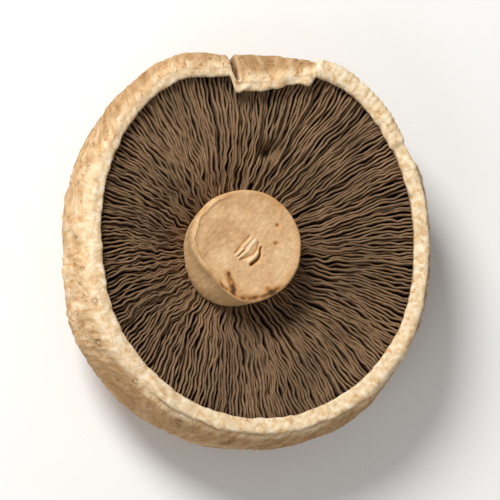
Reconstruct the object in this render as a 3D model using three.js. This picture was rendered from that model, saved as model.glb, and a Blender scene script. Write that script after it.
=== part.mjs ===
// A portobello mushroom, lying on the crown of its cap with its gills up.
// Millimetres, +Z up. The origin is the middle of the flat on the crown that it rests on.
// Each piece is turned about the Z axis from a plain profile. One warp of space, grown(), then
// moves the round shapes to the lobed outline of the real cap and sets the stem off centre, so
// that neighbouring pieces keep their gap.
import * as THREE from "three";

// Heights above the surface that it rests on.
const FLESH_TOP = 11; // inner side of the flesh, under the stem
const WIDEST_HEIGHT = 18; // where the cap is widest
const LIP_HEIGHT = 29; // top of the rolled margin
const BELLY_HEIGHT = 22; // where the stem is widest
const STEM_TOP = 33.6; // rim of the cut face

// Radii of the plain, round profiles.
const REST_RADIUS = 15; // flat on the crown
const CAP_RADIUS = 55.3; // at the widest
const LIP_RADIUS = 47.3; // inner edge of the rolled margin
const STEM_RADIUS = 16; // at the stem's belly
const CUT_RADIUS = 15; // at the stem's cut end
const GAP = 0.35; // between neighbouring pieces

const GILL_PLATES = 48;
const GILL_BED = 1.2; // flesh left under the grooves between the plates
const CAP_SEGMENTS = 60;
const STEM_SEGMENTS = 40;

// Real radii, every 30 degrees from +X towards +Y.
const CAP_RADII = [53.5, 55.3, 57.2, 55.8, 55.4, 55, 53.1, 55.7, 56.8, 56.2, 55.7, 54.5];
const LIP_RADII = [44.8, 47, 51.4, 49.6, 50.6, 47, 44.1, 45.5, 47.1, 48, 47.7, 46.4];
const LOBE = { angle: 86, halfWidth: 11, inward: 3.4 }; // where the margin folds in over the gills
const STEM_OFFSET = new THREE.Vector2(-4, -0.4);
const CUT_SLOPE = 0.05; // rise of the cut face per millimetre, towards CUT_SLOPE_ANGLE
const CUT_SLOPE_ANGLE = 200;
const CUT_FLAT = { angle: 216, halfWidth: 34, inward: 1.6 }; // the cut end's flatter side

const SKIN_COLOUR = "#e6cda8";
const GILL_COLOUR = "#59432f";
const STEM_COLOUR = "#d2ab7d";

const smoothstep = THREE.MathUtils.smoothstep;
const radians = THREE.MathUtils.degToRad;

// The smooth closed curve of radius against angle that runs through evenly spaced values.
function radiusCurve(values) {
  const n = values.length;
  return (angle) => {
    const turns = THREE.MathUtils.euclideanModulo(angle / (2 * Math.PI), 1) * n;
    const i = Math.floor(turns) % n;
    const t = turns - Math.floor(turns);
    const [a, b, c, d] = [values[(i + n - 1) % n], values[i], values[(i + 1) % n], values[(i + 2) % n]];
    return b + 0.5 * t * (c - a + t * (2 * a - 5 * b + 4 * c - d + t * (3 * (b - c) + d - a)));
  };
}

const capRadius = radiusCurve(CAP_RADII);
const lipRadius = radiusCurve(LIP_RADII);

// A smooth bump of height 1 at feature.angle, in degrees, that dies away over its half width.
function near(feature, angle) {
  const turn = THREE.MathUtils.euclideanModulo(angle - radians(feature.angle) + Math.PI, 2 * Math.PI);
  return Math.exp(-(((turn - Math.PI) / radians(feature.halfWidth)) ** 2));
}

// How far the margin waves up and down.
function rimWave(angle) {
  return 0.9 * Math.sin(2 * angle + 0.6) + 0.5 * Math.sin(3 * angle + 2.1);
}

// Moves a point of a plain round profile to its place on the real mushroom.
function grown(p) {
  const r = Math.hypot(p.x, p.y);
  const angle = Math.atan2(p.y, p.x);
  const upper = smoothstep(p.z, WIDEST_HEIGHT - 2, LIP_HEIGHT - 2);
  const lip = (lipRadius(angle) - LOBE.inward * near(LOBE, angle)) / LIP_RADIUS;
  const ratio = THREE.MathUtils.lerp(capRadius(angle) / CAP_RADIUS, lip, upper);
  const reach = r * (1 + (ratio - 1) * smoothstep(r, REST_RADIUS + 3, LIP_RADIUS - 1));
  const middle = (1 - smoothstep(r, STEM_RADIUS, LIP_RADIUS - 3)) * smoothstep(p.z, 0, FLESH_TOP - 1);
  const wave = rimWave(angle) * smoothstep(p.z, 12, 26) * smoothstep(r, 30, 50);
  return new THREE.Vector3(
    reach * Math.cos(angle) + STEM_OFFSET.x * middle,
    reach * Math.sin(angle) + STEM_OFFSET.y * middle,
    p.z + wave,
  );
}

// Turns a profile of radius and height about Z, and passes each point through shape().
function turned(profile, segments, shape) {
  const geometry = new THREE.LatheGeometry(profile, segments);
  geometry.rotateX(Math.PI / 2);
  const position = geometry.getAttribute("position");
  const p = new THREE.Vector3();
  for (let i = 0; i < position.count; i++) {
    p.fromBufferAttribute(position, i);
    const q = shape(p);
    position.setXYZ(i, q.x, q.y, q.z);
  }
  return geometry;
}

function piece(name, geometry, colour, roughness) {
  const material = new THREE.MeshStandardMaterial({ color: colour, roughness, metalness: 0 });
  const mesh = new THREE.Mesh(geometry, material);
  mesh.name = name;
  return mesh;
}

// The cavity of the cap, from the inner edge of the lip down to the flat flesh under the stem.
function cavity(path, clearance) {
  const g = clearance;
  path.lineTo(LIP_RADIUS - g, LIP_HEIGHT - 2.2);
  path.bezierCurveTo(50.6 - g, 24, 49.2 - g, 16.2 + g, 42 - g / 2, 13.2 + g);
  path.bezierCurveTo(34, 11 + g, 26, FLESH_TOP + g, STEM_RADIUS + 1.7, FLESH_TOP + g);
}

function capProfile() {
  const path = new THREE.Path();
  path.moveTo(0, 0);
  path.lineTo(REST_RADIUS, 0);
  path.bezierCurveTo(35, 0, CAP_RADIUS, 6, CAP_RADIUS, WIDEST_HEIGHT);
  path.bezierCurveTo(CAP_RADIUS, 24.5, 53, LIP_HEIGHT - 0.3, 50, LIP_HEIGHT);
  path.bezierCurveTo(48.4, LIP_HEIGHT, 47.4, LIP_HEIGHT - 0.8, LIP_RADIUS, LIP_HEIGHT - 2);
  cavity(path, 0);
  path.lineTo(0, FLESH_TOP);
  return path.getPoints(5);
}

// The gills fill the cavity: an outline of one plate, closed along its free edge.
function gillProfile() {
  const path = new THREE.Path();
  path.moveTo(LIP_RADIUS - 1, LIP_HEIGHT - 3.2);
  cavity(path, GAP);
  path.lineTo(STEM_RADIUS + 1.9, 20.5);
  path.bezierCurveTo(20.5, 22.8, 25, 23.4, 31, 24.2);
  path.bezierCurveTo(38, 25, 42, 25.5, LIP_RADIUS - 1, LIP_HEIGHT - 3.2);
  return path.getPoints(3).reverse();
}

// Height of the cavity's floor at a radius, as the plates' roots follow it.
function cavityFloor(r) {
  return FLESH_TOP + GAP + 2.4 * smoothstep(r, 24, 44) + 12 * smoothstep(r, 42, 51) ** 2;
}

// Every plate is four steps wide: two along its free edge and two down in the groove beside it.
function gillShape(p) {
  const step = Math.round((Math.atan2(p.y, p.x) / (2 * Math.PI)) * 4 * GILL_PLATES);
  const phase = THREE.MathUtils.euclideanModulo(step, 4);
  const steeper = [0, -0.8, 0, -0.8][phase] * (Math.PI / (2 * GILL_PLATES));
  const r = Math.hypot(p.x, p.y);
  const angle = Math.atan2(p.y, p.x) + steeper;
  const bottom = cavityFloor(r) + GILL_BED;
  const isFreeEdge = p.z > bottom + 1;
  const z = isFreeEdge && phase < 2 ? bottom : p.z;
  return grown(new THREE.Vector3(r * Math.cos(angle), r * Math.sin(angle), z));
}

function stemProfile() {
  const path = new THREE.Path();
  path.moveTo(0, FLESH_TOP + GAP);
  path.lineTo(STEM_RADIUS - 2, FLESH_TOP + GAP);
  path.bezierCurveTo(STEM_RADIUS - 0.6, 15, STEM_RADIUS, 18, STEM_RADIUS, BELLY_HEIGHT);
  path.bezierCurveTo(STEM_RADIUS, 27, CUT_RADIUS + 0.5, 30, CUT_RADIUS, STEM_TOP - 1);
  path.lineTo(CUT_RADIUS - 0.7, STEM_TOP);
  path.lineTo(CUT_RADIUS - 3, STEM_TOP - 0.2);
  path.lineTo(0, STEM_TOP - 0.7);
  return path.getPoints(5);
}

function stemShape(p) {
  const angle = Math.atan2(p.y, p.x);
  const upper = smoothstep(p.z, BELLY_HEIGHT, STEM_TOP);
  const narrowing = 1 - (upper * CUT_FLAT.inward * near(CUT_FLAT, angle)) / CUT_RADIUS;
  const along = p.x * Math.cos(radians(CUT_SLOPE_ANGLE)) + p.y * Math.sin(radians(CUT_SLOPE_ANGLE));
  const q = new THREE.Vector3(p.x * narrowing, p.y * narrowing, p.z - CUT_SLOPE * along * upper);
  return grown(q);
}

const mushroom = new THREE.Group();
mushroom.add(piece("cap", turned(capProfile(), CAP_SEGMENTS, grown), SKIN_COLOUR, 0.8));
mushroom.add(piece("gills", turned(gillProfile(), 4 * GILL_PLATES, gillShape), GILL_COLOUR, 0.9));
mushroom.add(piece("stem", turned(stemProfile(), STEM_SEGMENTS, stemShape), STEM_COLOUR, 0.75));

export default mushroom;
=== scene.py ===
# A portobello mushroom, lying on the crown of its cap with its gills up.
# Shapes are worked out in millimetres, and finish_piece() brings each mesh to metres.
import math

import bmesh
import bpy
from mathutils import Matrix, Vector, noise
from mathutils.geometry import interpolate_bezier


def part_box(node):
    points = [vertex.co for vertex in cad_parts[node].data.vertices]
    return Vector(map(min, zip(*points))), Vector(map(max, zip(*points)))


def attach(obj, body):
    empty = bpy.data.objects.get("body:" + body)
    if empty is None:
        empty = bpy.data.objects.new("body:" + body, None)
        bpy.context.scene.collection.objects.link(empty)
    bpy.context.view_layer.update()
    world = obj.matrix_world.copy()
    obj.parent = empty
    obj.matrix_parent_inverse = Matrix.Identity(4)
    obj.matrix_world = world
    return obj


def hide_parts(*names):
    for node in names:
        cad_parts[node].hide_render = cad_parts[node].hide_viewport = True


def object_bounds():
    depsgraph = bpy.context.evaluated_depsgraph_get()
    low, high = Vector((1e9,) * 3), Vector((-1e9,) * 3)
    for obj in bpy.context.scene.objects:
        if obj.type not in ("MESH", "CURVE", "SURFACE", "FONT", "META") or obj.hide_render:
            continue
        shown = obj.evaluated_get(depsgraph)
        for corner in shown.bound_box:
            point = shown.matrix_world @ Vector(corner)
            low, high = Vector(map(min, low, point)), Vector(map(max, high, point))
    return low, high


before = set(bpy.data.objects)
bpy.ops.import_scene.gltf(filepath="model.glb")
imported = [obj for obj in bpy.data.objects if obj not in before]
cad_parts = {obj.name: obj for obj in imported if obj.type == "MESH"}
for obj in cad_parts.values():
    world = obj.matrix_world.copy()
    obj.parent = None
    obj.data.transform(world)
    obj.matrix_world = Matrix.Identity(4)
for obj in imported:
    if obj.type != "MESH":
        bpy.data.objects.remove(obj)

cad_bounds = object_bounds()

MM = 0.001
CAP_NODE_LOW, CAP_NODE_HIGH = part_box("cap")
GILLS_NODE_LOW, GILLS_NODE_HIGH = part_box("gills")
STEM_NODE_LOW, STEM_NODE_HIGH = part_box("stem")

# The driving sizes of the CAD part, in millimetres.
GAP = 0.35
FLESH_TOP = GILLS_NODE_LOW.z / MM - GAP
WIDEST_HEIGHT = 18
LIP_HEIGHT = 29
BELLY_HEIGHT = 22
STEM_TOP = STEM_NODE_HIGH.z / MM - 0.7
REST_RADIUS = 15
CAP_RADIUS = 55.3
LIP_RADIUS = 47.3
STEM_RADIUS = 16
CUT_RADIUS = 15.6
CAP_RADII = (53.5, 55.3, 57.2, 55.8, 55.4, 55, 53.1, 55.7, 56.8, 56.2, 55.7, 54.5)
LIP_RADII = (44.8, 47, 51.4, 49.6, 50.6, 47, 44.1, 45.5, 47.1, 48, 47.7, 46.4)
LOBE_ANGLE = 86
STEM_OFFSET = Vector((-4, -0.4, 0))
CUT_SLOPE = 0.05
CUT_SLOPE_ANGLE = 200
CUT_FLAT_ANGLE = 222

CAP_STEPS = 600
STEM_STEPS = 360
FULL_PLATES = 134
FULL_PLATE_FACES = 54
SHORT_PLATE_FACES = 36
PLATE_ROWS = 5
PLATE_THICKNESS = 0.66


# ---------------------------------------------------------------- small helpers


def rise(value, low, high):
    """Climbs smoothly from 0 at low to 1 at high."""
    t = min(max((value - low) / (high - low), 0), 1)
    return t * t * (3 - 2 * t)


def blend(a, b, share):
    return a + (b - a) * share


def radius_curve(values):
    """The smooth closed curve of radius against angle through evenly spaced values."""
    count = len(values)

    def radius(angle):
        turns = (angle / math.tau % 1) * count
        i = int(turns) % count
        t = turns - int(turns)
        a, b, c, d = (values[(i + k) % count] for k in (-1, 0, 1, 2))
        return b + 0.5 * t * (c - a + t * (2 * a - 5 * b + 4 * c - d + t * (3 * (b - c) + d - a)))

    return radius


cap_radius = radius_curve(CAP_RADII)
lip_radius = radius_curve(LIP_RADII)


def degrees_past(angle, mark):
    """How many degrees an angle in radians lies past a mark in degrees, from -180 to 180."""
    return (math.degrees(angle) - mark + 180) % 360 - 180


def near(angle, mark, half_width):
    """A smooth bump of height 1 at the mark, in degrees."""
    return math.exp(-((degrees_past(angle, mark) / half_width) ** 2))


def between(angle, start, end, soft):
    """1 from start to end, in degrees, fading over soft degrees at both ends."""
    middle = (start + end) / 2
    half = (end - start) / 2
    return 1 - rise(abs(degrees_past(angle, middle)), half - soft / 2, half + soft / 2)


def rim_wave(angle):
    return 0.9 * math.sin(2 * angle + 0.6) + 0.5 * math.sin(3 * angle + 2.1)


def plain_lip(angle):
    return lip_radius(angle) - 3.4 * near(angle, LOBE_ANGLE, 11)


def fold(angle, past):
    """How far the rim moves in: the lip's fold and split inside, the smoother outline outside."""
    folded = between(angle, 71.5, 99, 1.2)
    beside = 1.9 * between(angle, 99, 130, 1.2) * (1 - rise(degrees_past(angle, 99), 4, 18))
    lip = (3.5 + 2.6 * between(angle, 82, 110, 14)) * folded + beside
    outline = 2.8 * between(angle, 25, 106, 16) + 1.6 * between(angle, -48, 25, 16)
    return blend(lip, outline, rise(past, 0, 6)) * rise(past, -9, -3) * (1 - rise(past, 22, 45))


def grown(radius, angle, height, lip=plain_lip):
    """Moves a point of a plain round profile to its place on the lobed mushroom."""
    upper = rise(height, WIDEST_HEIGHT - 2, LIP_HEIGHT - 2)
    ratio = blend(cap_radius(angle) / CAP_RADIUS, lip(angle) / LIP_RADIUS, upper)
    reach = radius * (1 + (ratio - 1) * rise(radius, REST_RADIUS + 3, LIP_RADIUS - 1))
    middle = (1 - rise(radius, STEM_RADIUS, LIP_RADIUS - 3)) * rise(height, 0, FLESH_TOP - 1)
    wave = rim_wave(angle) * rise(height, 12, 26) * rise(radius, 30, 50)
    place = Vector((reach * math.cos(angle), reach * math.sin(angle), height + wave))
    return place + STEM_OFFSET * middle


def lumps(place, size, octaves=1):
    """Smooth noise between about -1 and 1, with features of that size in millimetres."""
    if octaves == 1:
        return noise.noise(place / size)
    return noise.fractal(place / size, 0.8, 2.0, octaves)


def ridges(place, size):
    """Narrow raised lines on a flat ground, from 0 to 1."""
    return max(0, 1 - 3.2 * abs(noise.noise(place / size))) ** 2


def stretch_of(start, pull, second_pull, end, faces):
    """Points along one bend of a profile in the XZ plane, without its first point."""
    knots = [Vector((x, 0, z)) for x, z in (start, pull, second_pull, end)]
    return interpolate_bezier(knots[0], knots[1], knots[2], knots[3], faces + 1)[1:]


def straight(start, end, faces):
    a = Vector((start[0], 0, start[1]))
    b = Vector((end[0], 0, end[1]))
    return [a.lerp(b, (k + 1) / faces) for k in range(faces)]


def turned(profile, steps, measure):
    """Spins a profile that starts and ends on the axis; measure fills the layer named along."""
    bm = bmesh.new()
    along = bm.verts.layers.float.new("along")
    points = [bm.verts.new(p) for p in profile]
    for point, value in zip(points, measure):
        point[along] = value
    edges = [bm.edges.new(pair) for pair in zip(points, points[1:])]
    bmesh.ops.spin(bm, geom=points + edges, axis=(0, 0, 1), cent=(0, 0, 0), angle=math.tau, steps=steps,
                   use_merge=True)
    bmesh.ops.remove_doubles(bm, verts=bm.verts, dist=0.0005)
    bmesh.ops.recalc_face_normals(bm, faces=bm.faces)
    return bm


def finish_piece(name, bm, material, node):
    """Makes an object in metres from a mesh in millimetres and ties it to its CAD node."""
    bmesh.ops.scale(bm, vec=(MM, MM, MM), verts=bm.verts)
    mesh = bpy.data.meshes.new(name)
    bm.to_mesh(mesh)
    bm.free()
    mesh.shade_smooth()
    mesh.materials.append(material)
    piece = bpy.data.objects.new(name, mesh)
    bpy.context.scene.collection.objects.link(piece)
    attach(piece, "root")
    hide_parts(node)
    return piece


# ---------------------------------------------------------------- materials


def linear(hex_colour):
    """An sRGB hex colour as linear RGBA."""
    channels = [int(hex_colour[k : k + 2], 16) / 255 for k in (1, 3, 5)]
    return [c / 12.92 if c <= 0.04045 else ((c + 0.055) / 1.055) ** 2.4 for c in channels] + [1]


def per_mm(size):
    """The texture scale, in Object coordinates, whose features have that size in millimetres."""
    return 1 / (size * MM)


def add_node(tree, kind, inputs=None, output=0, stops=None, **settings):
    """Adds a node, sets or links its inputs by identifier, and gives back one of its outputs."""
    made = tree.nodes.new(kind)
    for name, value in settings.items():
        setattr(made, name, value)
    for name, value in (inputs or {}).items():
        socket = next(s for s in made.inputs if s.identifier == name)
        if isinstance(value, bpy.types.NodeSocket):
            tree.links.new(value, socket)
        else:
            socket.default_value = value
    if stops:
        ramp = made.color_ramp
        while len(ramp.elements) < len(stops):
            ramp.elements.new(0.5)
        for element, (position, colour) in zip(ramp.elements, stops):
            element.position = position
            element.color = linear(colour)
    if isinstance(output, str):
        return next(s for s in made.outputs if s.identifier == output)
    return made.outputs[output] if made.outputs else None


def new_material(name):
    material = bpy.data.materials.new(name)
    material.use_nodes = True
    material.node_tree.nodes.clear()
    return material, material.node_tree


def close_material(tree, colour, roughness, normal, **fixed):
    """Feeds one Principled shader; the numbers in fixed stay on its own sockets."""
    inputs = {"Base Color": colour, "Roughness": roughness, "Normal": normal, "IOR": 1.4}
    inputs.update({name.replace("_", " "): value for name, value in fixed.items()})
    shader = add_node(tree, "ShaderNodeBsdfPrincipled", inputs)
    add_node(tree, "ShaderNodeOutputMaterial", {"Surface": shader})


def object_place(tree):
    return add_node(tree, "ShaderNodeTexCoord", output="Object")


def mushroom_skin():
    """Cap cuticle and veil of a mushroom, as grown.

    Matt, dry and felty: cream with short curved tan strokes where fibres have lifted, tan patches and
    brown flecks that thicken towards the crown, and pale cottony tissue along the margin. It also
    carries painted shade: browner skin on the lower flank and the upper rim, a dark line at the foot of
    the veil's step, in the split and round the knots, and dark brown in the cavity behind the gills.
    """
    material, tree = new_material("mushroom_skin")
    place = object_place(tree)
    veil = add_node(tree, "ShaderNodeAttribute", attribute_name="veil", output="Fac")
    weather_and_shade = add_node(tree, "ShaderNodeAttribute", attribute_name="weather_and_shade", output="Fac")
    hollow_shade = add_node(tree, "ShaderNodeAttribute", attribute_name="hollow_shade", output="Fac")
    crease_shade = add_node(tree, "ShaderNodeAttribute", attribute_name="crease_shade", output="Fac")

    grain = add_node(tree, "ShaderNodeAttribute", attribute_name="grain", output="Vector")

    felt = add_node(tree, "ShaderNodeTexNoise", {
        "Vector": grain, "Scale": per_mm(2.2), "Detail": 5, "Roughness": 0.6, "Distortion": 0.6}, "Fac")
    skin = add_node(tree, "ShaderNodeValToRGB", {"Fac": felt}, stops=(
        (0.3, "#c2935d"), (0.41, "#d3ac7c"), (0.53, "#dfc197"), (0.68, "#ecd9ba")))

    swirl = add_node(tree, "ShaderNodeTexNoise", {
        "Vector": grain, "Scale": per_mm(3.2), "Detail": 2, "Roughness": 0.5, "Distortion": 1.6}, "Fac")
    stroke = add_node(tree, "ShaderNodeValToRGB", {"Fac": swirl}, stops=(
        (0.46, "#000000"), (0.49, "#ffffff"), (0.505, "#ffffff"), (0.535, "#000000")))
    broken = add_node(tree, "ShaderNodeTexNoise", {
        "Vector": place, "Scale": per_mm(2.6), "Detail": 2}, "Fac")
    broken = add_node(tree, "ShaderNodeMapRange", {
        "Value": broken, "From Min": 0.48, "From Max": 0.6, "To Min": 0.1, "To Max": 0.9}, "Result")
    stroke = add_node(tree, "ShaderNodeMath", {"Value": stroke, "Value_001": broken}, operation="MULTIPLY")
    skin = add_node(tree, "ShaderNodeMix", {
        "Factor_Float": stroke, "A_Color": skin, "B_Color": linear("#a9743a")}, "Result_Color",
        data_type="RGBA")

    patch = add_node(tree, "ShaderNodeTexNoise", {
        "Vector": place, "Scale": per_mm(8), "Detail": 4, "Roughness": 0.62, "Distortion": 0.6}, "Fac")
    # Real browning towards the crown and painted shade: the lower flank and the upper rim are mixed towards
    # brown here.
    wear_and_shade = add_node(tree, "ShaderNodeMath", {"Value": weather_and_shade, "Value_001": patch}, operation="ADD")
    wear_and_shade = add_node(tree, "ShaderNodeMapRange", {
        "Value": wear_and_shade, "From Min": 0.6, "From Max": 1.1, "To Min": 0, "To Max": 0.85}, "Result")
    brown = add_node(tree, "ShaderNodeValToRGB", {"Fac": felt}, stops=(
        (0.3, "#89633a"), (0.43, "#9d764b"), (0.57, "#ae885b"), (0.7, "#c19e72")))
    skin = add_node(tree, "ShaderNodeMix", {
        "Factor_Float": wear_and_shade, "A_Color": skin, "B_Color": brown}, "Result_Color", data_type="RGBA")

    fleck_noise = add_node(tree, "ShaderNodeTexNoise", {
        "Vector": place, "Scale": per_mm(1.7), "Detail": 4, "Roughness": 0.6, "Distortion": 0.9}, "Fac")
    # The flecks grow denser with this browning, and so also where shade is painted.
    fleck_limit = add_node(tree, "ShaderNodeMapRange", {
        "Value": weather_and_shade, "From Min": 0, "From Max": 1, "To Min": 0.37, "To Max": 0.42}, "Result")
    fleck = add_node(tree, "ShaderNodeMath", {"Value": fleck_limit, "Value_001": fleck_noise},
                     operation="SUBTRACT")
    fleck = add_node(tree, "ShaderNodeMapRange", {
        "Value": fleck, "From Min": 0, "From Max": 0.07, "To Min": 0, "To Max": 0.8}, "Result")
    skin = add_node(tree, "ShaderNodeMix", {
        "Factor_Float": fleck, "A_Color": skin, "B_Color": linear("#704823")}, "Result_Color",
        data_type="RGBA")

    cotton = add_node(tree, "ShaderNodeTexNoise", {
        "Vector": place, "Scale": per_mm(1.9), "Detail": 3, "Roughness": 0.55, "Distortion": 0.7}, "Fac")
    pale = add_node(tree, "ShaderNodeValToRGB", {"Fac": cotton}, stops=(
        (0.3, "#c39a69"), (0.41, "#d5b68b"), (0.52, "#dfc6a0"), (0.66, "#ebdabf")))
    skin = add_node(tree, "ShaderNodeMix", {
        "Factor_Float": veil, "A_Color": skin, "B_Color": pale}, "Result_Color", data_type="RGBA")
    # Painted shade: a dark brown line at the foot of the veil's step, in the split and in the grooves round the
    # knots.
    skin = add_node(tree, "ShaderNodeMix", {
        "Factor_Float": crease_shade, "A_Color": skin, "B_Color": linear("#4c321b")}, "Result_Color",
        data_type="RGBA")
    # Painted shade: dark brown over the walls and floor of the cavity behind the gills.
    skin = add_node(tree, "ShaderNodeMix", {
        "Factor_Float": hollow_shade, "A_Color": skin, "B_Color": linear("#5a4430")}, "Result_Color",
        data_type="RGBA")

    bump = add_node(tree, "ShaderNodeBump", {"Strength": 0.4, "Distance": 0.25 * MM, "Height": fleck_noise})
    bump = add_node(tree, "ShaderNodeBump", {
        "Strength": 0.8, "Distance": 0.3 * MM, "Height": felt, "Normal": bump})
    close_material(tree, skin, 0.78, bump)
    return material


def gill_tissue():
    """Gills of a ripe mushroom: thin matt plates, dusted dark brown with spores, with painted shade deep
    between them, and paler on their edges, partly their own colour and partly painted highlight.
    """
    material, tree = new_material("gill_tissue")
    place = object_place(tree)
    edge = add_node(tree, "ShaderNodeAttribute", attribute_name="edge", output="Fac")
    rubbed = add_node(tree, "ShaderNodeAttribute", attribute_name="rubbed", output="Fac")
    rubbed = add_node(tree, "ShaderNodeMath", {"Value": rubbed, "Value_001": 0.6}, operation="MULTIPLY")
    dust = add_node(tree, "ShaderNodeTexNoise", {
        "Vector": place, "Scale": per_mm(1.3), "Detail": 4, "Roughness": 0.6}, "Fac")
    bloom = add_node(tree, "ShaderNodeTexNoise", {
        "Vector": place, "Scale": per_mm(11), "Detail": 2}, "Fac")
    side = add_node(tree, "ShaderNodeValToRGB", {"Fac": dust}, stops=(
        (0.3, "#634b35"), (0.7, "#7f6147")))
    rim = add_node(tree, "ShaderNodeValToRGB", {"Fac": dust}, stops=(
        (0.3, "#745a41"), (0.7, "#967655")))
    # Painted shade: the plates' sides darken towards their roots, deep in the gaps between them.
    root = add_node(tree, "ShaderNodeMapRange", {
        "Value": edge, "From Min": 0.1, "From Max": 0.65, "To Min": 0, "To Max": 1}, "Result")
    colour = add_node(tree, "ShaderNodeMix", {
        "Factor_Float": root, "A_Color": linear("#5a4430"), "B_Color": side}, "Result_Color",
        data_type="RGBA")
    # Paler free edges: partly their own colour and partly painted highlight where light catches them.
    share = add_node(tree, "ShaderNodeMapRange", {
        "Value": edge, "From Min": 0.9, "From Max": 1, "To Min": 0, "To Max": 1}, "Result")
    colour = add_node(tree, "ShaderNodeMix", {
        "Factor_Float": share, "A_Color": colour, "B_Color": rim}, "Result_Color", data_type="RGBA")
    dim = add_node(tree, "ShaderNodeMapRange", {
        "Value": bloom, "From Min": 0.35, "From Max": 0.65, "To Min": 0.45, "To Max": 0}, "Result")
    colour = add_node(tree, "ShaderNodeMix", {
        "Factor_Float": dim, "A_Color": colour, "B_Color": linear("#4a3726")}, "Result_Color",
        data_type="RGBA")
    colour = add_node(tree, "ShaderNodeMix", {
        "Factor_Float": rubbed, "A_Color": colour, "B_Color": linear("#937757")}, "Result_Color",
        data_type="RGBA")
    bump = add_node(tree, "ShaderNodeBump", {"Strength": 0.4, "Distance": 0.15 * MM, "Height": dust})
    close_material(tree, colour, 0.9, bump)
    return material


def stem_flesh():
    """Stem flesh, cut by a knife: matt and fine-grained, tan from handling, bruised brown at its edge.
    The cut face also has painted shade in its crack, pits and furrows, and pale folds and a pale left
    rim that are partly paler tissue and partly painted highlight.
    """
    material, tree = new_material("stem_flesh")
    place = object_place(tree)
    bruise_and_shade = add_node(tree, "ShaderNodeAttribute", attribute_name="bruise_and_shade", output="Fac")
    pale = add_node(tree, "ShaderNodeAttribute", attribute_name="pale", output="Fac")
    side = add_node(tree, "ShaderNodeAttribute", attribute_name="side", output="Fac")
    cloud = add_node(tree, "ShaderNodeTexNoise", {
        "Vector": place, "Scale": per_mm(6), "Detail": 4, "Roughness": 0.55}, "Fac")
    colour = add_node(tree, "ShaderNodeValToRGB", {"Fac": cloud}, stops=(
        (0.3, "#b98e60"), (0.5, "#cca375"), (0.7, "#dab688")))
    slanted = add_node(tree, "ShaderNodeMapping", {
        "Vector": place, "Rotation": (0, 0, math.radians(-45)), "Scale": (1, 2.4, 1)}, vector_type="TEXTURE")
    grain = add_node(tree, "ShaderNodeTexNoise", {
        "Vector": slanted, "Scale": per_mm(0.7), "Detail": 3, "Roughness": 0.7}, "Fac")
    speck = add_node(tree, "ShaderNodeMapRange", {
        "Value": grain, "From Min": 0.36, "From Max": 0.64, "To Min": 0.82, "To Max": 1.1}, "Result")
    speck = add_node(tree, "ShaderNodeCombineColor", {"Red": speck, "Green": speck, "Blue": speck})
    colour = add_node(tree, "ShaderNodeMix", {
        "Factor_Float": 1.0, "A_Color": colour, "B_Color": speck}, "Result_Color",
        data_type="RGBA", blend_type="MULTIPLY")
    stretched = add_node(tree, "ShaderNodeMapping", {"Vector": place, "Scale": (1, 1, 0.12)})
    fibre = add_node(tree, "ShaderNodeTexNoise", {
        "Vector": stretched, "Scale": per_mm(0.9), "Detail": 3, "Roughness": 0.6}, "Fac")
    silk = add_node(tree, "ShaderNodeValToRGB", {"Fac": fibre}, stops=(
        (0.3, "#c59a6a"), (0.5, "#d2aa78"), (0.7, "#dfbd8f")))
    colour = add_node(tree, "ShaderNodeMix", {
        "Factor_Float": side, "A_Color": colour, "B_Color": silk}, "Result_Color", data_type="RGBA")
    # Pale folds and a pale left rim: partly paler tissue and partly painted highlight on the sides facing the
    # light.
    colour = add_node(tree, "ShaderNodeMix", {
        "Factor_Float": pale, "A_Color": colour, "B_Color": linear("#e6cda4")}, "Result_Color",
        data_type="RGBA")
    # Light and dark brown on the cut face: real bruising and stains, with painted shade in the crack, pits and
    # furrows.
    for low, high, stain in ((0, 0.5, "#b0793d"), (0.45, 1, "#4d331a")):
        share = add_node(tree, "ShaderNodeMapRange", {
            "Value": bruise_and_shade, "From Min": low, "From Max": high, "To Min": 0, "To Max": 1}, "Result")
        colour = add_node(tree, "ShaderNodeMix", {
            "Factor_Float": share, "A_Color": colour, "B_Color": linear(stain)}, "Result_Color",
            data_type="RGBA")
    bump = add_node(tree, "ShaderNodeBump", {"Strength": 0.5, "Distance": 0.2 * MM, "Height": grain})
    close_material(tree, colour, 0.72, bump)
    return material


def studio_paper():
    """Matt white backdrop paper, with a faint tooth."""
    material, tree = new_material("studio_paper")
    place = object_place(tree)
    tooth = add_node(tree, "ShaderNodeTexNoise", {"Vector": place, "Scale": per_mm(1.5)}, "Fac")
    bump = add_node(tree, "ShaderNodeBump", {"Strength": 0.05, "Distance": 0.1 * MM, "Height": tooth})
    close_material(tree, linear("#f1efec"), 0.9, bump)
    return material


# ---------------------------------------------------------------- cap


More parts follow.
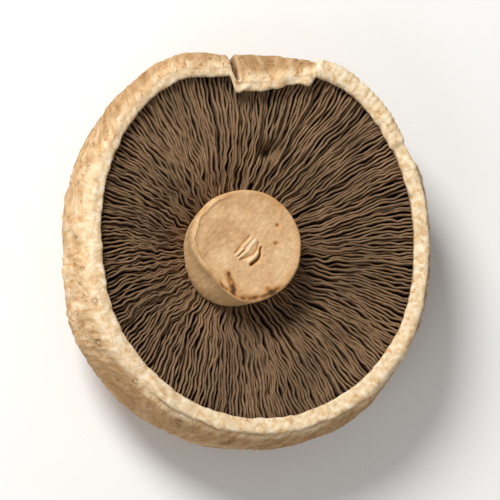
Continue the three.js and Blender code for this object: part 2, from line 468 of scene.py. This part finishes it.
def cap_profile():
    """The cap's half outline, and for each point its distance from the lip's crest along it."""
    lip_inner = (LIP_RADIUS, LIP_HEIGHT - 1)
    crest = (50, LIP_HEIGHT)
    widest = (CAP_RADIUS, WIDEST_HEIGHT)
    rest = (REST_RADIUS, 0)
    wall_top = (LIP_RADIUS + 0.1, LIP_HEIGHT - 2.4)
    wall_foot = (42, 13.2)
    floor_edge = (STEM_RADIUS + 1.7, FLESH_TOP)
    points = [Vector((0, 0, 0))]
    points += straight((0, 0), rest, 6)
    points += stretch_of(rest, (35, 0), (CAP_RADIUS, 6), widest, 50)
    points += stretch_of(widest, (CAP_RADIUS, 24.5), (53, LIP_HEIGHT - 0.3), crest, 34)
    crest_index = len(points) - 1
    points += stretch_of(crest, (48.4, LIP_HEIGHT), (47.4, LIP_HEIGHT), lip_inner, 9)
    points += straight(lip_inner, wall_top, 3)
    points += stretch_of(wall_top, (50.6, 24), (49.2, 16.2), wall_foot, 20)
    points += stretch_of(wall_foot, (34, 11), (26, FLESH_TOP), floor_edge, 12)
    points += straight(floor_edge, (0, FLESH_TOP), 6)
    walked = [0]
    for a, b in zip(points, points[1:]):
        walked.append(walked[-1] + (b - a).length)
    return points, [walked[crest_index] - w for w in walked]


def crowded(angle):
    """Draws the columns of faces together at the split and at the step beside the fold."""
    for mark, half_width in ((98, 7), (71.5, 5)):
        past = degrees_past(angle, mark)
        angle -= math.radians(0.62 * past * math.exp(-((past / half_width) ** 2)))
    return angle


def veil_edge(angle):
    """How far outside the crest the pale tissue of the lip ends, in millimetres."""
    around = Vector((math.cos(angle), math.sin(angle), 0)) * 50
    ragged = 0.6 * lumps(around, 7) + 0.35 * lumps(around, 2.3)
    wide = 1.6 * near(angle, -42, 16) + 4.5 * between(angle, 36, 71, 1.5) + between(angle, 158, 232, 24)
    return 1.4 + ragged + wide - 2.2 * between(angle, 72, 152, 10)


def veil_sharpness(angle):
    """1 where the veil ends in a clear step, 0 where it fades into the skin."""
    return max(between(angle, -128, 33, 14), 0.8 * between(angle, 72, 150, 12), 0.1)


# Small knots on the skin: degrees around the cap, and millimetres outside the lip's crest.
KNOTS = ((200, 1.8), (162, 7.5), (179, 7), (212, 5.6), (189, 4.4), (246, 5), (228, 3.2), (150, 5.5))


def knot(angle, past):
    """Height and painted shade of the knots: a raised grain in a torn ring-shaped groove, painted dark as
    shade, mostly on one side.
    """
    lift, dark = 0, 0
    for mark, out in KNOTS:
        aside = degrees_past(angle, mark) * 0.9
        if abs(aside) < 3 and abs(past - out) < 3:
            reach = math.hypot(aside, past - out)
            ring = math.exp(-(((reach - 0.75) / 0.3) ** 2))
            lift += 0.5 * math.exp(-((reach / 0.5) ** 2)) - 0.3 * ring
            # Painted shade in the ring's groove, heavier on one side.
            dark += ring * (0.6 if aside < 0.2 else 0.2)
    return lift, dark


def shape_cap(bm):
    along = bm.verts.layers.float["along"]
    veil = bm.verts.layers.float.new("veil")
    weather_and_shade = bm.verts.layers.float.new("weather_and_shade")
    hollow_shade = bm.verts.layers.float.new("hollow_shade")
    crease_shade = bm.verts.layers.float.new("crease_shade")
    grain = bm.verts.layers.float_vector.new("grain")
    angles = {}
    for v in bm.verts:
        radius = math.hypot(v.co.x, v.co.y)
        angle = crowded(math.atan2(v.co.y, v.co.x))
        angles[v.index] = angle
        past = v[along]
        outside = rise(past, 1, 5) * (1 - rise(past, 14, 22))
        shoulder = (1.1 * near(angle, 26, 5) - 1.1 * near(angle, 35, 5)) * outside
        around = Vector((math.cos(angle), math.sin(angle), 0)) * 50
        scallop = 0.5 * lumps(around, 2.9) + 0.16 * lumps(around, 1.2)
        scallop *= rise(past, -5, -2.5) * (1 - rise(past, -1.6, -0.4))
        swept = angle + 0.016 * past * (0.3 + 1.5 * lumps(around, 11))
        v[grain] = Vector((50 * math.cos(swept), 50 * math.sin(swept), 0.55 * past)) * MM
        v.co = grown(radius + shoulder + scallop - fold(angle, past), angle, v.co.z, lip_radius)
    bm.normal_update()
    reliefs = []
    for v in bm.verts:
        angle = angles[v.index]
        past = v[along]
        place = v.co.copy()
        edge = veil_edge(angle)
        sharp = veil_sharpness(angle)
        soft = blend(3.2, 0.35, sharp)
        inside = 1 - rise(past, edge - soft, edge + soft)
        v[veil] = inside * rise(past, -4.5, -3)
        # Painted shade for the cavity behind the gills, deeper than the lip.
        v[hollow_shade] = 1 - rise(past, -4.6, -3.2)
        # Painted shade: the lower flank, turned from the light, and the upper rim are painted browner, on top
        # of the real browning towards the crown.
        shaded = 0.5 * between(angle, -150, -10, 40) + 0.5 * between(angle, 62, 150, 50)
        start = blend(1, edge, sharp)
        v[weather_and_shade] = rise(past, start, start + 4) * (0.25 + shaded) + rise(past, 9, 30) * (0.75 - shaded)
        # Painted shade: a dark line where the skin meets the foot of the veil's step.
        v[crease_shade] = (0.4 + 0.5 * lumps(place, 5)) * sharp * math.exp(-(((past - edge - 0.3) / 0.35) ** 2))
        relief = 0
        if past > -4:
            outer = rise(past, 0, 6)
            relief += 0.55 * lumps(place, 16, 2) * rise(past, -4, 4)
            relief += 0.22 * lumps(place, 4.5, 2)
            warped = v[grain] / MM + Vector((lumps(place, 6), lumps(place + Vector((9, 0, 0)), 6), 0)) * 2.4
            relief += (0.34 * ridges(warped, 4.2) + 0.18 * ridges(warped, 2)) * outer
            relief += 0.75 * sharp * inside * rise(past, -2, 1)
            cotton = (1 - rise(past, 0.5, 2.5)) * rise(past, -4, -3)
            relief += 0.2 * cotton * lumps(place, 1.9)
            relief += 0.6 * between(angle, 72, 98, 3) * cotton * lumps(place, 2)
            pleat = between(angle, 38, 70, 6) * rise(past, -2.5, -1) * (1 - rise(past, 3, 5))
            relief += 0.16 * pleat * math.sin(math.degrees(angle) * math.tau / 1.95)
            split_width = 0.42 + 0.07 * max(past, 0)
            aside = degrees_past(angle, 97.3 + 0.14 * past) * math.radians(52)
            split = math.exp(-((aside / split_width) ** 2)) * rise(past, -0.6, 1.2) * (1 - rise(past, 6, 13))
            relief -= 3.2 * split
            knot_lift, knot_shade = knot(angle, past)
            relief += knot_lift
            # The split and the knots' grooves are painted dark as shade too.
            v[crease_shade] = max(v[crease_shade], split, knot_shade)
            relief += 0.6 * between(angle, 36, 71.5, 1.2) * (1 - rise(past, 2, 5))
        reliefs.append(relief * rise(place.z, 0, 3) if past > 0 else relief)
    for v, relief in zip(bm.verts, reliefs):
        v.co += v.normal * relief


# ---------------------------------------------------------------- gills


def cavity_floor(radius):
    return FLESH_TOP + 2.4 * rise(radius, 24, 44) + 12 * rise(radius, 42, 51) ** 2


def gill_crest(radius):
    """Height of the free edges: level outside, dipping to the foot of the stem."""
    dip = 2.2 * (max(31 - radius, 0) / 14) ** 2
    return 25.8 - 1.6 * (46.3 - radius) / 15.3 - dip + 0.9 * rise(radius, 41, 46.5)


def sway(radius, angle, share, seed):
    """Sideways shift of a plate, in millimetres, at a share of its height."""
    around = Vector((math.cos(angle), math.sin(angle), 0)) * 32
    up = Vector((0, 0, radius))
    bow = 2.2 * noise.noise((around + up) / 22) * rise(radius, 16, 26)
    lean = noise.noise(around / 3.8 + up / 9)
    tight = 1 - rise(radius, 19, 34)
    crinkle = (0.3 + 0.7 * tight) * noise.noise(around / 4 + up / 2.6 + Vector((5, 0, 0)))
    ripple = 0.16 * noise.noise(around / 3 + up / 1.5 + Vector((0, 7, 0)))
    own = 0.55 * noise.noise(Vector((seed * 3.7, 0, radius / 3.5)))
    return bow + (lean + crinkle + ripple + own) * share ** 1.3


def pressed(radius, angle):
    """How deep the damaged spot is, and how rubbed the trail from it to the stem is."""
    aside = math.radians(degrees_past(angle, 77)) * radius
    hole = math.exp(-((aside / 2.3) ** 2) - ((radius - 28.5) / 2) ** 2)
    trail = math.exp(-(((aside - 2.4) / 1.8) ** 2)) * rise(radius, 18, 21) * (1 - rise(radius, 30, 42))
    return 6 * hole, trail


def plate_template(faces):
    """A flat slab one unit long, high and thick, in even rows; add_plate crowds them towards the free edge."""
    bm = bmesh.new()
    bmesh.ops.create_grid(bm, x_segments=faces, y_segments=PLATE_ROWS, size=0.5)
    bmesh.ops.solidify(bm, geom=bm.faces[:], thickness=1.0)
    bmesh.ops.translate(bm, vec=(0.5, 0.5, 0.5), verts=bm.verts)
    bmesh.ops.recalc_face_normals(bm, faces=bm.faces)
    mesh = bpy.data.meshes.new("plate_template")
    bm.to_mesh(mesh)
    bm.free()
    return mesh


def add_plate(bm, template, angle, inner, outer, seed, lowered):
    edge = bm.verts.layers.float["edge"]
    rubbed = bm.verts.layers.float["rubbed"]
    start = len(bm.verts)
    bm.from_mesh(template)
    bm.verts.ensure_lookup_table()
    own_height = 0.9 * noise.noise(Vector((seed * 5.3, 4, 0))) - lowered
    for v in bm.verts[start:]:
        share = 1 - (1 - v.co.y) ** 1.7
        radius = blend(inner, outer, v.co.x)
        radius += 1.4 * (1 - share) * rise(v.co.x, 0.85, 1)
        crest = gill_crest(radius) + own_height
        crest += 0.8 * noise.noise(Vector((seed * 2.1, 8, radius / 4)))
        hole, trail = pressed(radius, angle)
        crest -= hole + 1.2 * trail
        v[rubbed] = trail * share
        if inner > STEM_RADIUS + 4:
            crest -= 3.5 * (1 - rise(v.co.x, 0, 0.22))
        floor = cavity_floor(radius) - 0.2
        height = blend(floor, max(crest, floor + 1), share)
        thick = PLATE_THICKNESS * blend(1.25, 1, share) * (1 - 0.35 * rise(share, 0.93, 1))
        sideways = sway(radius, angle, share, seed) + v.co.z * thick
        v[edge] = share
        v.co = grown(radius, angle + sideways / radius, height)


def make_gills(material):
    long_slab = plate_template(FULL_PLATE_FACES)
    short_slab = plate_template(SHORT_PLATE_FACES)
    full = bmesh.new()
    short = bmesh.new()
    for bm in (full, short):
        bm.verts.layers.float.new("edge")
        bm.verts.layers.float.new("rubbed")
    for i in range(FULL_PLATES):
        angle = math.tau * i / FULL_PLATES
        jitter = 0.16 * noise.noise(Vector((i * 1.7, 0, 3)))
        spacing = math.tau / FULL_PLATES
        low = 0.6 if i % 2 else 0
        add_plate(full, long_slab, angle + jitter * spacing, STEM_RADIUS - 0.8, LIP_RADIUS + 1.6, i, low)
        chance = noise.cell(Vector((i + 0.5, 0, 0)))
        inner = 18.5 + 11 * chance
        has_short = noise.cell(Vector((i + 0.5, 7, 0))) > 0.45
        if has_short:
            add_plate(short, short_slab, angle + spacing * 0.37, inner, LIP_RADIUS + 1.6, i + 200, 0.9)
            add_plate(short, short_slab, angle + spacing * 0.7, 29 + 7 * chance, LIP_RADIUS + 1.6, i + 400, 0.4)
        else:
            add_plate(short, short_slab, angle + spacing * 0.5, inner, LIP_RADIUS + 1.6, i + 200, 0.6)
    bpy.data.meshes.remove(long_slab)
    bpy.data.meshes.remove(short_slab)
    finish_piece("gills_full", full, material, "gills")
    finish_piece("gills_short", short, material, "gills")


# ---------------------------------------------------------------- stem

# Marks on the cut face, in millimetres from the stem's axis.
PITH_FOLDS = (
    ((1.3, 2), (-1.2, -0.4)), ((2.5, 1.5), (1.4, 0.2)), ((1.4, 0.2), (0.4, -1.4)), ((-1, -0.9), (-3.2, -3.1)),
    ((0, -1.6), (-2.3, -3.9)), ((3.4, -1.5), (2.4, -3)), ((2.4, -3), (0.9, -4.3)))
PITH_FURROWS = (
    ((1, 2.7), (-1.2, 0.4)), ((-1.2, 0.4), (-3.7, -2.5)), ((-0.4, -1.2), (-2.6, -3.4)),
    ((3.5, 1), (3.1, -0.9)), ((3.1, -0.9), (2, -2.2)), ((2, -2.2), (0, -3.2)), ((0, -3.2), (-1.9, -4.2)))
PITH_CRACK = ((4.3, -0.2), (3.9, -1.2), (3.95, -2.4), (3.5, -3.4), (2.6, -4.2), (1.6, -5))
PITS = ((8.8, 5.9), (8.4, 0.9))


def stem_profile():
    base = FLESH_TOP + GAP
    foot = (STEM_RADIUS - 2, base)
    belly_radius = STEM_RADIUS - 0.9
    belly = (belly_radius, BELLY_HEIGHT)
    shoulder = (CUT_RADIUS, STEM_TOP - 1)
    edge = (CUT_RADIUS - 0.7, STEM_TOP)
    face = (CUT_RADIUS - 3, STEM_TOP - 0.2)
    points = [Vector((0, 0, base))]
    points += straight((0, base), foot, 6)
    points += stretch_of(foot, (STEM_RADIUS - 1, 15), (belly_radius, 18), belly, 22)
    points += stretch_of(belly, (belly_radius, 26), (CUT_RADIUS + 0.3, 29), shoulder, 34)
    points += stretch_of(shoulder, (CUT_RADIUS, STEM_TOP - 0.4), (CUT_RADIUS - 0.3, STEM_TOP), edge, 5)
    points += straight(edge, face, 9)
    points += straight(face, (0, STEM_TOP - 0.7), 56)
    side = [1.0] * (6 + 22 + 34 + 3) + [0.5] * 3
    return points, side + [0.0] * (len(points) - len(side))


def from_line(x, y, a, b):
    """Distance of a point in the plane from the line between a and b."""
    point, a, b = Vector((x, y)), Vector(a), Vector(b)
    share = min(max((point - a).dot(b - a) / (b - a).length_squared, 0), 1)
    return (point - a.lerp(b, share)).length


def mark(x, y, lines, half_width):
    """1 along any of the lines, fading to 0 over the half width."""
    return max(math.exp(-((from_line(x, y, a, b) / half_width) ** 2)) for a, b in lines)


def shape_stem(bm):
    side = bm.verts.layers.float["along"]
    bruise_and_shade = bm.verts.layers.float.new("bruise_and_shade")
    pale = bm.verts.layers.float.new("pale")
    on_side = bm.verts.layers.float.new("side")
    slope = math.radians(CUT_SLOPE_ANGLE)
    for v in bm.verts:
        x, y, z = v.co
        radius = math.hypot(x, y)
        angle = math.atan2(y, x)
        on_face = 1 - v[side]
        v[on_side] = v[side]
        lift = 0
        if on_face:
            ridge = mark(x, y, PITH_FOLDS, 0.55)
            furrow = mark(x, y, PITH_FURROWS, 0.27)
            crack = mark(x, y, zip(PITH_CRACK, PITH_CRACK[1:]), 0.2 + 0.05 * max(0, -y))
            pit = max(math.exp(-((math.hypot(x - a, y - b) / 0.45) ** 2)) for a, b in PITS)
            ragged = 0.5 * lumps(Vector((x, y, 3)), 3) + 0.2 * lumps(Vector((x, y, 6)), 1)
            rim = math.exp(-(((radius - CUT_RADIUS + 0.9 + ragged) / 0.26) ** 2)) * between(angle, 112, 236, 12)
            scar = math.exp(-(((radius - CUT_RADIUS + 0.9 + ragged) / 0.5) ** 2)) * between(angle, 236, 312, 14)
            torn = max(0, 0.85 + 0.7 * lumps(Vector((x, y, 9)), 1.5))
            bent = 0.35 * lumps(Vector((x, y, 12)), 1.7)
            wound = 1.1 * math.exp(-(((from_line(x, y, (-6, -9.2), (-3.6, -12.9)) + bent) / 1.05) ** 2))
            wound += 0.7 * math.exp(-(((from_line(x, y, (6.2, -11.8), (7.6, -12.8)) + bent) / 0.9) ** 2))
            wound *= torn
            stained = 0.3 * rise(radius, CUT_RADIUS - 3, CUT_RADIUS) * (0.6 + lumps(Vector((x, y, 2)), 4))
            lift += 0.4 * ridge - 0.35 * furrow + 0.35 * rim - 1.1 * crack - 0.5 * pit - 0.35 * scar
            lift += 0.35 * math.exp(-(((x - 0.3) ** 2 + (y + 1.5) ** 2) / 20))
            lift += 0.05 * lumps(Vector((x, y, 0)), 1.1) + 0.15 * lumps(Vector((x, y, 5)), 6)
            # Pale folds and a pale left rim: partly paler tissue and partly painted highlight on the sides
            # facing the light.
            v[pale] = min(1, 0.8 * ridge * (1 - furrow) + 0.75 * rim * (0.8 + ragged))
            # Real bruising on the wound, the torn scar and the stained rim, with painted shade in the crack,
            # pits and furrows.
            v[bruise_and_shade] = min(1, crack + 0.8 * pit + 0.85 * torn * scar + max(0, wound) + 0.4 * furrow + stained)
        upper = rise(z, BELLY_HEIGHT, STEM_TOP)
        narrowing = 1 - upper * 2.9 * near(angle, CUT_FLAT_ANGLE, 32) / CUT_RADIUS
        rise_along = CUT_SLOPE * (x * math.cos(slope) + y * math.sin(slope)) * upper
        wobble = 0.25 * lumps(Vector((x, y, z * 0.3)), 6) * rise(radius, 10, 14) * v[side]
        flare = 1.7 * near(angle, 238, 40) * (1 - rise(z, BELLY_HEIGHT, STEM_TOP - 2)) * v[side]
        place = grown((radius + wobble + flare) * narrowing, angle, z - rise_along)
        place += Vector((-0.8 * upper, -0.6 * upper, lift))
        v.co = place


# ---------------------------------------------------------------- floor, light and camera


def make_floor():
    bm = bmesh.new()
    bmesh.ops.create_grid(bm, x_segments=1, y_segments=1, size=3)
    mesh = bpy.data.meshes.new("floor")
    bm.to_mesh(mesh)
    bm.free()
    mesh.materials.append(studio_paper())
    floor = bpy.data.objects.new("floor", mesh)
    bpy.context.scene.collection.objects.link(floor)


def add_softbox(name, direction, distance, size, watts):
    data = bpy.data.lights.new(name, "AREA")
    data.shape = "DISK"
    data.size = size
    data.energy = watts
    light = bpy.data.objects.new(name, data)
    towards = Vector(direction).normalized()
    light.location = towards * distance
    light.rotation_euler = towards.to_track_quat("Z", "Y").to_euler()
    bpy.context.scene.collection.objects.link(light)


def make_light():
    world = bpy.data.worlds.new("studio")
    bpy.context.scene.world = world
    world.use_nodes = True
    world.node_tree.nodes["Background"].inputs["Color"].default_value = (1, 1, 1, 1)
    world.node_tree.nodes["Background"].inputs["Strength"].default_value = 0.33
    add_softbox("key", (-0.55, 0.66, 0.8), 0.9, 0.35, 8.5)
    add_softbox("fill", (-0.7, -0.7, 0.8), 1.1, 0.6, 2.3)
    bpy.context.scene.view_settings.view_transform = "Standard"


def make_camera():
    azimuth, elevation = math.radians(295), math.radians(75)
    back = Vector((
        math.sin(azimuth) * math.cos(elevation), -math.cos(azimuth) * math.cos(elevation), math.sin(elevation)))
    up = (Vector((0, 1, 0)) - back * back.y).normalized()
    right = up.cross(back)
    low, high = cad_bounds
    target = (low + high) / 2
    data = bpy.data.cameras.new("camera")
    data.lens = 200
    camera = bpy.data.objects.new("camera", data)
    turn = Matrix((right, up, back)).transposed().to_4x4()
    camera.matrix_world = Matrix.Translation(target + back * 0.78) @ turn
    bpy.context.scene.collection.objects.link(camera)
    bpy.context.scene.camera = camera


make_floor()
make_light()
make_camera()

profile, from_crest = cap_profile()
cap = turned(profile, CAP_STEPS, from_crest)
shape_cap(cap)
finish_piece("cap_flesh", cap, mushroom_skin(), "cap")

make_gills(gill_tissue())

profile, side_share = stem_profile()
stem = turned(profile, STEM_STEPS, side_share)
shape_stem(stem)
finish_piece("stem_flesh", stem, stem_flesh(), "stem")
